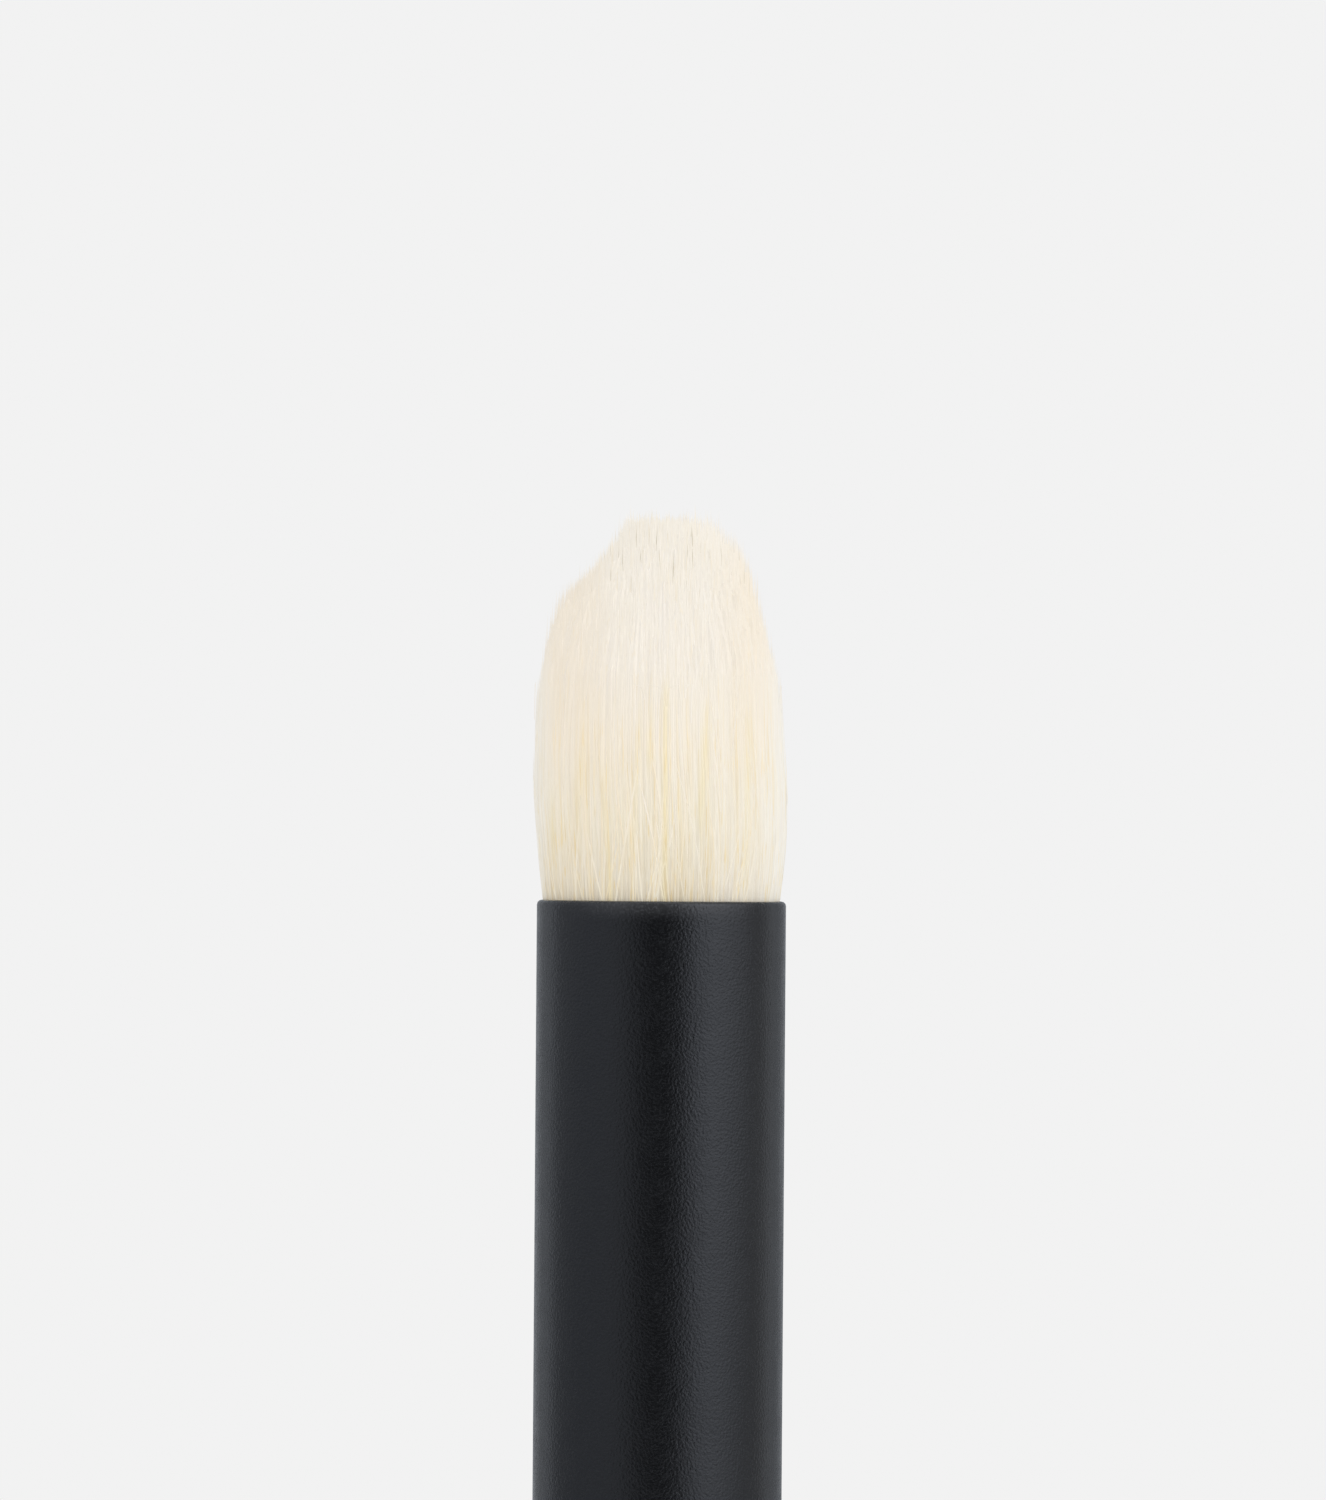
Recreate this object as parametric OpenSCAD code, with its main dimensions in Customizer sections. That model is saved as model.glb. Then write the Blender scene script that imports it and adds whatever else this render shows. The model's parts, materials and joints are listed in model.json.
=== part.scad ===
// Round eyeshadow brush: a domed head of ivory hair in a black tube body that stands on its flat butt.
// All lengths are in millimetres. The origin is the centre of the butt's flat face, and +Z runs to the hair tips.
// Seen from -Y, +X is to the right.

/* [Body] */
// Outside diameter of the end cap, handle tube and ferrule, which run flush
body_d = 9; // [8:0.1:11]
// Height of the end cap's head, below the handle tube
cap_h = 4; // [2:0.1:8]
// Length of the handle tube, from the end cap to the ferrule
handle_len = 100; // [70:1:140]
// Length of the ferrule, from the handle tube to its mouth
ferrule_len = 32; // [28:0.5:45]
// Wall of the handle tube
handle_wall = 0.8; // [0.5:0.05:1.2]
// Wall of the drawn ferrule
ferrule_wall = 0.2; // [0.15:0.01:0.4]
// Round on the outer edge of the ferrule's mouth
mouth_round = 0.17; // [0.05:0.01:0.2]
// Round on the edge of the butt
butt_round = 0.3; // [0.1:0.05:1]
// Small chamfer on both sides of each seam of the body
seam_chamfer = 0.08; // [0.02:0.01:0.12]

/* [Joints inside the body] */
// Depth of the end cap's spigot in the handle tube
cap_spigot_len = 8; // [5:0.5:15]
// Depth of the joining spigot in the handle tube
lower_spigot_len = 10; // [6:0.5:20]
// Depth of the joining spigot in the ferrule
upper_spigot_len = 12; // [8:0.5:15]
// Chamfer on the leading edge of each spigot
lead_chamfer = 0.4; // [0.1:0.05:0.6]
// Radial clearance of what is glued into a bore
bond_gap = 0.03; // [0.01:0.01:0.08]
// Width of each groove that holds adhesive
glue_w = 2; // [1:0.1:3]
// Depth of each groove that holds adhesive
glue_depth = 0.35; // [0.2:0.05:0.5]
// Skin of air between an adhesive ring and what it bonds
glue_skin = 0.01; // [0.005:0.005:0.02]

/* [Balance weight] */
// Length of the steel rod above the end cap
weight_len = 25; // [10:1:50]
// Radial clearance of the rod in the handle tube
weight_gap = 0.05; // [0.02:0.01:0.1]
// Chamfer on both ends of the rod
weight_chamfer = 0.5; // [0.1:0.05:0.8]

/* [Root of the hair] */
// Length of the resin that the hair is potted in
resin_len = 10; // [7:0.5:12]
// Diameter of the thread that ties the bundle
thread_d = 0.5; // [0.3:0.01:0.6]
// Turns of thread round the bundle
thread_turns = 4; // [3:1:6]
// Height of the lowest turn above the resin's lower face
thread_rise = 2; // [1:0.1:3]
// Thickness of the slice of backing that the strands stand in
backing_h = 1.2; // [0.8:0.1:2]
// Depth of the slice's upper face below the mouth
backing_depth = 1.5; // [1:0.1:2.5]

/* [Hair] */
// Strands in the head, each of which stands for a lock of hair
strand_count = 340; // [300:10:390]
// Distance from a strand's middle to its corners
strand_r = 0.155; // [0.1:0.005:0.16]
// Gap between the outermost strands and the ferrule's mouth
mouth_gap = 0.04; // [0.03:0.01:0.2]
// How far the fullest ring of the head stands out past the ferrule's bore
head_swell = 0.3; // [0:0.01:0.6]
// Height of the fullest ring above the mouth
belly_h = 4.5; // [3:0.1:6]
// Height of the tallest tips above the mouth
head_h = 13.9; // [12:0.1:18]
// How far the head's outermost path draws in again at the height of the tallest tips
crown_draw = 0.35; // [0:0.05:0.8]
// How much lower than the tallest tips the outermost tips end
dome_drop = 6.2; // [3:0.1:7]
// How late the dome turns down towards its edge
dome_power = 4.8; // [3:0.1:7]
// Distance from the axis to the top of the chamfer on the head's left shoulder
shoulder_x = 1.25; // [0.5:0.05:2.5]
// Drop of the left shoulder's chamfer from its top to the side of the head
shoulder_drop = 3.6; // [0.5:0.1:5]
// Greatest step up or down of a tip from the dome's even curve
tip_scatter = 0.22; // [0:0.01:0.4]

/* [Hidden] */
$fn = 48;
arc_fn = 12;
thread_fn = 6;

// One overrun for every cut
over = 0.5;

// Radii of the body
body_r = body_d / 2;
handle_bore_r = body_r - handle_wall;
ferrule_bore_r = body_r - ferrule_wall;
round_share = 0.9;
mouth_r = min(mouth_round, ferrule_wall * round_share);
seam_cut = min(seam_chamfer, ferrule_wall * round_share);

// Heights of the body, from the butt up
handle_z = cap_h;
seam_z = handle_z + handle_len;
mouth_z = seam_z + ferrule_len;
spigot_low_z = seam_z - lower_spigot_len;
spigot_high_z = seam_z + upper_spigot_len;
weight_z = handle_z + cap_spigot_len;

// Radii of what is glued into the bores
low_spigot_r = handle_bore_r - bond_gap;
high_spigot_r = ferrule_bore_r - bond_gap;
weight_r = handle_bore_r - weight_gap;

// Root of the hair
resin_r = high_spigot_r;
backing_top_z = mouth_z - backing_depth;
backing_low_z = backing_top_z - backing_h;
resin_low_z = backing_low_z - resin_len;
thread_pitch_share = 0.8;
thread_pitch = thread_d * thread_pitch_share;
thread_ring_r = resin_r - glue_skin - thread_d / 2;
thread_low_z = resin_low_z + thread_rise;
thread_high_z = thread_low_z + thread_d + thread_pitch * (thread_turns - 1);

// Paths of the strands: straight from the backing through the mouth to the belly, then drawn in to the crown
golden_turn = 137.5078;
root_sink_share = 0.5;
root_h = -backing_depth - backing_h * root_sink_share;
mouth_path_r = ferrule_bore_r - mouth_gap - strand_r;
belly_path_r = ferrule_bore_r + head_swell - strand_r;
taper_at_share = 0.7;
taper_share = 0.8;
rings = 3;
corners = 3;
strand_points = rings * corners + 1;

function share_out(i) = sqrt((i + 1 / 2) / strand_count);

function path_r(h) = h < belly_h
    ? mouth_path_r + (belly_path_r - mouth_path_r) * h / belly_h
    : belly_path_r - crown_draw * (h - belly_h) / (head_h - belly_h);

// Scatter from -1 to 1 that looks random and stays the same for each strand
scatter_turn = 73.61;
function scatter(i) = sin(i * i * scatter_turn);

function dome_h(i) = head_h - dome_drop * pow(share_out(i), dome_power);

function shoulder_h(x) = head_h + shoulder_drop * (x + shoulder_x) / (belly_path_r - shoulder_x);

function tip_h(i) =
    let (even = min(dome_h(i), shoulder_h(share_out(i) * path_r(dome_h(i)) * cos(i * golden_turn))))
    min(head_h, even + tip_scatter * scatter(i));

function ring_h(i, k) = [root_h, belly_h, belly_h + (tip_h(i) - belly_h) * taper_at_share][k];

function ring_r(k) = strand_r * (k < rings - 1 ? 1 : taper_share);

function on_path(i, h) =
    let (r = share_out(i) * path_r(h), a = i * golden_turn)
    [r * cos(a), r * sin(a), mouth_z + h];

function corner(i, k, c) =
    let (a = i * scatter_turn + c * 360 / corners)
    on_path(i, ring_h(i, k)) + ring_r(k) * [cos(a), sin(a), 0];

function side_faces(low, high) = [
    for (c = [0 : corners - 1], half = [0, 1])
        let (d = (c + 1) % corners)
        half == 0 ? [low + c, high + c, high + d] : [low + c, high + d, low + d]
];

function strand_faces(first) = [
    [for (c = [0 : corners - 1]) first + c],
    for (k = [0 : rings - 2]) each side_faces(first + k * corners, first + (k + 1) * corners),
    for (c = [0 : corners - 1])
        let (top = first + (rings - 1) * corners)
        [top + c, first + rings * corners, top + (c + 1) % corners]
];

// A ring with square edges about the Z axis
module band(inner_r, outer_r, low_z, high_z) {
    rotate_extrude()
        translate([inner_r, low_z])
            square([outer_r - inner_r, high_z - low_z]);
}

// A groove for adhesive, cut into a round piece of radius r at height z
module glue_groove(r, z) {
    band(r - glue_depth, r + over, z - glue_w / 2, z + glue_w / 2);
}

// The ring of adhesive that fills such a groove and reaches the bore round it
module glue_ring(r, bore_r, z) {
    band(r - glue_depth + glue_skin, bore_r - glue_skin, z - glue_w / 2, z + glue_w / 2);
}

// What a round of radius r leaves to cut off the body's outer edge at height z. The edge looks up or down
module edge_waste(r, z, up) {
    difference() {
        translate([body_r - r, up ? z - r : z - over])
            square(r + over);
        translate([body_r - r, up ? z - r : z + r])
            circle(r, $fn = arc_fn);
    }
}

// The head of hair: strands that stand in a slice of their backing
module bristle_tuft() {
    color("ivory")
        union() {
            translate([0, 0, backing_low_z])
                cylinder(r = resin_r, h = backing_h);
            polyhedron(
                points = [
                    for (i = [0 : strand_count - 1]) each [
                        for (k = [0 : rings - 1], c = [0 : corners - 1]) corner(i, k, c),
                        on_path(i, tip_h(i))
                    ]
                ],
                faces = [for (i = [0 : strand_count - 1]) each strand_faces(i * strand_points)]
            );
        }
}

// The lower end of the bundle, soaked with resin, with a waist for the thread
module root_resin() {
    color("tan")
        difference() {
            translate([0, 0, resin_low_z])
                cylinder(r = resin_r, h = resin_len);
            band(thread_ring_r - thread_d / 2 - glue_skin, resin_r + over,
                 thread_low_z - glue_skin, thread_high_z + glue_skin);
        }
}

// The thread wound round the bundle, hidden in the ferrule
module tie_thread() {
    color("beige")
        rotate_extrude()
            for (turn = [0 : thread_turns - 1])
                translate([thread_ring_r, thread_low_z + thread_d / 2 + turn * thread_pitch])
                    circle(d = thread_d, $fn = thread_fn);
}

// The thin tube that holds the hair
module ferrule() {
    color("dimgray")
        rotate_extrude()
            difference() {
                polygon([
                    [ferrule_bore_r, seam_z],
                    [body_r - seam_cut, seam_z],
                    [body_r, seam_z + seam_cut],
                    [body_r, mouth_z],
                    [ferrule_bore_r, mouth_z]
                ]);
                edge_waste(mouth_r, mouth_z, true);
            }
}

// The ring of adhesive between the joining spigot and the ferrule
module ferrule_glue() {
    color("goldenrod")
        glue_ring(high_spigot_r, ferrule_bore_r, seam_z + upper_spigot_len / 2);
}

// The stepped plug that joins the ferrule to the handle tube and seats on the tube's upper face
module joint_spigot() {
    color("black")
        difference() {
            rotate_extrude()
                polygon([
                    [0, spigot_low_z],
                    [low_spigot_r - lead_chamfer, spigot_low_z],
                    [low_spigot_r, spigot_low_z + lead_chamfer],
                    [low_spigot_r, seam_z],
                    [high_spigot_r, seam_z],
                    [high_spigot_r, spigot_high_z - lead_chamfer],
                    [high_spigot_r - lead_chamfer, spigot_high_z],
                    [0, spigot_high_z]
                ]);
            glue_groove(high_spigot_r, seam_z + upper_spigot_len / 2);
            glue_groove(low_spigot_r, seam_z - lower_spigot_len / 2);
        }
}

// The ring of adhesive between the joining spigot and the handle tube
module handle_glue() {
    color("goldenrod")
        glue_ring(low_spigot_r, handle_bore_r, seam_z - lower_spigot_len / 2);
}

// The straight tube that is held between the fingers
module handle_tube() {
    color("dimgray")
        rotate_extrude()
            polygon([
                [handle_bore_r, handle_z],
                [body_r - seam_cut, handle_z],
                [body_r, handle_z + seam_cut],
                [body_r, seam_z - seam_cut],
                [body_r - seam_cut, seam_z],
                [handle_bore_r, seam_z]
            ]);
}

// The steel rod that brings the balance down towards the butt
module balance_weight() {
    color("slategray")
        difference() {
            rotate_extrude()
                polygon([
                    [0, weight_z],
                    [weight_r - weight_chamfer, weight_z],
                    [weight_r, weight_z + weight_chamfer],
                    [weight_r, weight_z + weight_len - weight_chamfer],
                    [weight_r - weight_chamfer, weight_z + weight_len],
                    [0, weight_z + weight_len]
                ]);
            glue_groove(weight_r, weight_z + weight_len / 2);
        }
}

// The ring of adhesive between the rod and the handle tube
module weight_glue() {
    color("goldenrod")
        glue_ring(weight_r, handle_bore_r, weight_z + weight_len / 2);
}

// The plug that closes the butt, with the flat face that the brush stands on
module end_cap() {
    color("dimgray")
        difference() {
            rotate_extrude()
                difference() {
                    polygon([
                        [0, 0],
                        [body_r, 0],
                        [body_r, handle_z - seam_cut],
                        [body_r - seam_cut, handle_z],
                        [low_spigot_r, handle_z],
                        [low_spigot_r, weight_z - lead_chamfer],
                        [low_spigot_r - lead_chamfer, weight_z],
                        [0, weight_z]
                    ]);
                    edge_waste(butt_round, 0, false);
                }
            glue_groove(low_spigot_r, handle_z + cap_spigot_len / 2);
        }
}

// The ring of adhesive between the end cap's spigot and the handle tube
module cap_glue() {
    color("goldenrod")
        glue_ring(low_spigot_r, handle_bore_r, handle_z + cap_spigot_len / 2);
}

bristle_tuft();
root_resin();
tie_thread();
ferrule();
ferrule_glue();
joint_spigot();
handle_glue();
handle_tube();
balance_weight();
weight_glue();
end_cap();
cap_glue();
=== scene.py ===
"""Looks for the round eyeshadow brush: ivory hair, a grained matte black body, studio light and camera.

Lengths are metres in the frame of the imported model. Names of measures in millimetres end in _MM.
"""

import json
import math

import bpy
import numpy as np
from mathutils import Matrix, Vector


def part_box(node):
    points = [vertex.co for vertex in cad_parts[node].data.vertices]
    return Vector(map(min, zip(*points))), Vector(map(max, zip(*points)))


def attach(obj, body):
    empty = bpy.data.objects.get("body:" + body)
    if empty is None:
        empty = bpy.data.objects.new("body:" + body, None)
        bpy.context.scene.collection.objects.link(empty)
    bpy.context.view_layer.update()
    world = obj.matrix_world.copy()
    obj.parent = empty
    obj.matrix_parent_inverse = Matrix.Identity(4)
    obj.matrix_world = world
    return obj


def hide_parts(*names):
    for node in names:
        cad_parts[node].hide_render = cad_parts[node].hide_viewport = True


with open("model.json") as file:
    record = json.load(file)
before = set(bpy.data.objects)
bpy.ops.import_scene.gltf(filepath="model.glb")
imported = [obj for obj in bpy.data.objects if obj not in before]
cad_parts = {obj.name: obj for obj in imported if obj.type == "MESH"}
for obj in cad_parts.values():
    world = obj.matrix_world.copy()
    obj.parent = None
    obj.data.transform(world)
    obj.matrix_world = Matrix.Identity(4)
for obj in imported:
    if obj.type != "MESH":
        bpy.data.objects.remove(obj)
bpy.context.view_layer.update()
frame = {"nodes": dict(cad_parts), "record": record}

MM = 0.001
ROOT = "root"

# The camera: the height that the photograph takes in at the brush, and where it is taken from. The picture is
# taller than it is wide, so the sensor's size counts along its height
VIEW_H_MM = 54.16
SENSOR_MM = 36
CAMERA_DISTANCE = 0.8
CAMERA_ABOVE_MOUTH_MM = 5.437
CAMERA_RIGHT_MM = 0.016
CAMERA_ROLL_DEG = 0.43
CAMERA_CLIP = (0.05, 50)

# Radiance of the pale background, also seen through glass, and of the even light from all round
BACKGROUND = 0.8873
FILL = 0.895

# The room that gloss sees: azimuth in degrees, 0 at the camera and 90 to its right, and radiance
GLOSS_ROOM = (
    (-180, 0.45), (-150, 0.52), (-139, 0.3), (-128, 1.08), (-115, 0.58), (-100, 0.62), (-60, 0.79),
    (-36, 0.88), (-12, 0.1), (14, 0.08), (36, 1.95), (53, 2.15), (74, 1.25), (92, 0.74), (114, 0.64),
    (126, 1.0), (138, 0.32), (150, 0.44), (180, 0.4),
)

# The room's tint by the share of the way round from azimuth -180 to 180: it is cooler on the left and behind
PLAIN = (1.0, 1.0, 1.0)
COOL = (0.91, 0.965, 1.04)
GLOSS_TINT = ((0.0, COOL), (0.3, (0.94, 0.98, 1.04)), (0.42, PLAIN), (0.8, PLAIN), (0.88, COOL), (1.0, COOL))

# The lamps: name, azimuth and elevation in degrees, distance, width, height, radiance, and whether only gloss
# sees it. The others light only matte surfaces. The two near ones make the tube's gloss fade downwards
LAMPS = (
    ("softbox_right", 50, 8, 1.0, 0.75, 1.5, 0.56, False),
    ("softbox_left", -68, 8, 1.0, 1.0, 1.5, 0.1, False),
    ("gloss_right", 60, 25, 0.1, 0.12, 0.11, 0.75, True),
    ("gloss_left", -72, 25, 0.1, 0.14, 0.11, 0.25, True),
)

# The floor: a disc that turns clear between two distances from the brush
FLOOR_R = 1.2
FLOOR_SIDES = 96
FLOOR_FADE = (0.12, 1.0)
FLOOR_COLOUR = (0.85, 0.85, 0.85, 1)

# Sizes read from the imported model. The ferrule's wall, which its box doesn't show, is given
FERRULE_WALL_MM = 0.2
ferrule_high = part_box("ferrule")[1]
tuft_low, tuft_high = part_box("bristle_tuft")
resin_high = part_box("root_resin")[1]
MOUTH_Z = ferrule_high.z
BORE_R_MM = ferrule_high.x / MM - FERRULE_WALL_MM
HEAD_H_MM = (tuft_high.z - MOUTH_Z) / MM
ROOT_R_MM = resin_high.x / MM
ROOT_H_MM = (tuft_low.z - MOUTH_Z) / MM

# The head's side: the radius of the outmost hair's path in the mouth, at the belly and at the crown. The
# curve up to the belly goes on below the mouth by a share of its height. The lean to the left begins at one
# height and is whole at another
HAIR_GAP_MM = 0.05
PACKED_R_MM = BORE_R_MM - HAIR_GAP_MM
CURVE_BELOW_SHARE = 0.1
BELLY_H_MM = 4.4
BELLY_R_MM = 4.55
CROWN_R_MM = 4.2
LEAN_MM = 0.15
LEAN_RISE_MM = (1.5, 6.5)

# The head's dome: how far it drops to its edge, how late it does, and how much its flat crown cuts off
DOME_DROP_MM = 6.2
DOME_POWER_RIGHT = 3.4
DOME_POWER_LEFT = 4.3
CROWN_CUT_MM = 0.3

# The left shoulder is cut on two slants: the places and heights of its corners. The right one has a low shelf
SHOULDER_MM = ((-4.1, 10.4), (-3.4, 11.0), (-1.85, 12.3), (-1.3, 13.3), (-1.15, 13.9))
SHELF_X_MM = 2.95
SHELF_W_MM = 0.65
SHELF_H_MM = 0.5

# Golden locks on the side that the photograph shows, and again on the other after half a turn. Each row has
# the place along X at the mouth, the slant, the heights that it fades in and out at, half its width and how
# golden it is
GOLDEN_LOCKS_MM = (
    (0.10, 0.00, -2.5, 8.6, 0.11, 0.9),
    (1.20, 0.06, 1.9, 7.4, 0.14, 0.85),
    (-0.60, 0.02, 3.8, 7.6, 0.10, 0.7),
    (-1.80, -0.07, -1.5, 5.0, 0.11, 0.7),
    (-1.10, 0.04, 0.8, 7.8, 0.10, 0.55),
    (-3.85, -0.03, 0.6, 4.4, 0.09, 0.75),
    (3.00, 0.02, -0.4, 7.4, 0.11, 0.6),
    (-3.20, 0.06, 1.8, 6.4, 0.16, 0.35),
)
LOCK_FADE_MM = 1.8

# The hairs: their number, the share of the radius that the outer ones start at, the rings of each, and how
# deep they reach: the outer ones to a share of the tuft's depth in the tube, the inner ones below their tips
SEED = 20
HAIR_COUNT = 9000
OUTER_SHARE = 0.8
OUTER_RINGS = 10
OUTER_DEPTH_SHARE = 0.4
INNER_RINGS = 6
INNER_LENGTH_MM = 3.2

# One hair: its corners, its width, its depth as a share of that, how its rings close up towards the tip, and
# the last stretch, over which it tapers to a share of its width
HAIR_CORNERS = 3
HAIR_W_MM = (0.07, 0.11)
HAIR_DEPTH_SHARE = 0.25
RING_POWER = 0.9
TAPER_MM = 2.2
TAPERED_SHARE = 0.3

# The hairs' layout: each stands a golden turn on from the last, and scatters by standard deviations in shares
# of the radius and in radians. None stands outside of one share of the radius, and the angles within another
# share don't scatter more than at its edge
GOLDEN_TURN = math.radians(137.5078)
OUTMOST_SHARE = 0.998
INMOST_SHARE = 0.05
PLACE_SCATTER = 0.006
ANGLE_SCATTER = 0.01
FACING_SCATTER = 0.1

# How the hairs bend: each tilts about a share of the head's height and sways in waves of its own. Both begin
# gently above the mouth, over the millimetres of their rise
TILT_MM = 0.12
TILT_ABOUT_SHARE = 0.3
TILT_RISE_MM = 3
SWAY_MM = 0.06
SWAY_PER_MM = 0.55
SWAY_RISE_MM = 5

# The small locks that the hairs draw together into, by a share of the way, from a height above the mouth
LOCK_COUNT = 130
LOCK_PULL_SHARE = 0.22
LOCK_FROM_MM = 1.0
LOCK_ANGLE_SCATTER = 0.2

# The tips: how far they are over the dome on average, and how they scatter with their lock and by themselves.
# A share of the hairs is shorter by a length between two limits, and a share is longer
TIP_LIFT_MM = 0.1
LOCK_TIP_SCATTER_MM = 0.07
TIP_SCATTER_MM = 0.1
SHORT_SHARE = 0.12
SHORTER_MM = (0.2, 1.4)
LONG_SHARE = 0.1
LONGER_MM = (0.1, 0.4)

# The strays: a share starts in the mouth and the others between two heights. They slant about a share of
# their length, stay below the tips, and stand off the other hairs, most in their middle
STRAY_COUNT = 220
STRAY_RINGS = 7
STRAY_W_MM = (0.045, 0.07)
STRAY_LENGTH_MM = (2.5, 6)
STRAY_MOUTH_SHARE = 0.7
STRAY_MOUTH_MM = -0.4
STRAY_START_MM = (0, 8)
STRAY_SLANT_SCATTER = 0.11
STRAY_ABOUT_SHARE = 0.2
STRAY_BEND = 0.01
STRAY_WAVE = 4
STRAY_EDGE_SHARE = 0.99
STRAY_BELOW_MM = (0.3, 0.1)
STRAY_OFF_MM = 0.01
STRAY_ARCH_MM = 0.03
STRAY_TAPER_SHARE = 1 / 3
STRAY_TAPERED_SHARE = 0.45
STRAY_GOLDEN_SHARE = 0.12
# The strays' colour is taken from higher up, so that they carry less of the painted shade near the root
STRAY_PALER_SHARE = 0.18

# The core under the hairs: its sides, its size as a share of the hairs' paths, the potted stretch, the
# heights and number of the rings up its side, and the rings inwards over its top, which lies below the tips
CORE_SIDES = 288
CORE_SHARE = 0.95
CORE_POTTED_MM = 1.1
CORE_SIDE_MM = (-0.6, 7.2)
CORE_SIDE_RINGS = 14
CORE_TOP_RINGS = 26
CORE_INMOST_SHARE = 0.03
CORE_BELOW_MM = 0.7
CORE_STEP_MM = 0.05
RIDGE_SCATTER = 0.012
RING_SCATTER = 0.003
CORE_TOP_SCATTER_MM = 0.16

# What the hair's material reads as kind and chance: the kind of a golden hair, and the core's own
GOLDEN_KIND = 0.88
CORE_CHANCE = 0.35
CORE_KIND = 0.5

# Where the hair's tones change to the sides: how far from the middle they begin and are whole. The paler
# right side and the paler edges are painted light, and the edges are counted from a middle to the left, as
# the head leans
LIT_RIGHT_X_MM = (0.2, 3.3)
WARM_X_MM = (1.4, 3.2)
BACKLIT_X_MM = (3.6, 4.4)
BACKLIT_LEAN_MM = 1.3 * LEAN_MM

# A painted highlight just under the tube's mouth: its height, and where it thins out to the sides
LIT_RIM_H_MM = 1.0
LIT_RIM_X_MM = (1.2, 3.8)

# The hidden pieces' materials: slot, darker and lighter tone, spots a metre and how many times that along
# each axis, roughness and metalness
HIDDEN = (
    ("hair_resin", (0.30, 0.19, 0.07), (0.48, 0.33, 0.14), 2500, (1, 1, 0.2), 0.35, 0.0),
    ("tie_thread", (0.50, 0.45, 0.33), (0.66, 0.61, 0.48), 9000, (1, 1, 2), 0.8, 0.0),
    ("joint_plastic", (0.006, 0.006, 0.007), (0.012, 0.012, 0.013), 4000, (1, 1, 1), 0.4, 0.0),
    ("weight_steel", (0.34, 0.34, 0.35), (0.46, 0.46, 0.47), 3000, (0.2, 0.2, 4), 0.3, 1.0),
    ("adhesive", (0.42, 0.29, 0.08), (0.58, 0.43, 0.16), 2000, (1, 1, 1), 0.25, 0.0),
)


def share(values, low, high):
    """How far each value is from low to high, from 0 to 1, with soft ends."""
    t = np.clip((values - low) / (high - low), 0, 1)
    return t * t * (3 - 2 * t)


def path_radius(h):
    """Radius of the outmost hair's path at height h above the mouth, in millimetres."""
    rise = np.clip(h / BELLY_H_MM, -CURVE_BELOW_SHARE, 1)
    low = PACKED_R_MM + (BELLY_R_MM - PACKED_R_MM) * np.sin(rise * math.pi / 2)
    high = BELLY_R_MM - (BELLY_R_MM - CROWN_R_MM) * (h - BELLY_H_MM) / (HEAD_H_MM - BELLY_H_MM)
    return np.where(h < BELLY_H_MM, low, high)


def lean(h):
    """How far the head's middle is along X at height h, in millimetres: to the left, as it leans."""
    return -LEAN_MM * share(h, *LEAN_RISE_MM)


def tip_height(s, angle):
    """Height of the head's surface over the path at share s of the radius, in millimetres."""
    right = share(np.cos(angle), -1, 1)
    power = DOME_POWER_LEFT + (DOME_POWER_RIGHT - DOME_POWER_LEFT) * right
    dome = HEAD_H_MM - DOME_DROP_MM * s**power
    x = s * path_radius(dome) * np.cos(angle)
    shoulder = np.interp(x, *np.transpose(SHOULDER_MM))
    shelf = SHELF_H_MM * np.exp(-(((x - SHELF_X_MM) / SHELF_W_MM) ** 2))
    return np.minimum(np.minimum(dome, HEAD_H_MM - CROWN_CUT_MM), shoulder) + shelf


def new_object(name, data):
    piece = bpy.data.objects.new(name, data)
    bpy.context.scene.collection.objects.link(piece)
    return piece


def in_frame(points):
    """Points in millimetres from the middle of the mouth, as metres in the frame."""
    return points * MM + np.array([0, 0, MOUTH_Z])


def set_hair_colour(mesh, values):
    """Stores what the hair's material reads at each corner: chance, height, kind and gold, from 0 to 1."""
    colour = mesh.color_attributes.new("hair", "FLOAT_COLOR", "POINT")
    colour.data.foreach_set("color", values.astype(np.float32).ravel())


def dress_hair(piece, material):
    """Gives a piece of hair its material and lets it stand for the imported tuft.

    Real hairs pass light on and these don't, so it casts no shadow and takes no part in diffuse bounces.
    """
    piece.data.materials.append(material)
    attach(piece, ROOT)
    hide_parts("bristle_tuft")
    piece.visible_shadow = False
    piece.visible_diffuse = False


def hair_points(paths, widths, facing):
    """Corners of each hair in millimetres: three at each ring of its path, and the tip's point."""
    count = len(paths)
    out = np.stack([np.cos(facing), np.sin(facing), np.zeros(count)], -1)[:, None, :]
    along = np.stack([-np.sin(facing), np.cos(facing), np.zeros(count)], -1)[:, None, :]
    w = widths[:, :, None]
    depth = HAIR_DEPTH_SHARE * w
    body = paths[:, :-1]
    ring = np.stack([body + along * w / 2 + out * depth / 3,
                     body - along * w / 2 + out * depth / 3,
                     body - out * depth * 2 / 3], 2)
    return np.concatenate([ring.reshape(count, -1, 3), paths[:, -1:]], 1)


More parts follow.
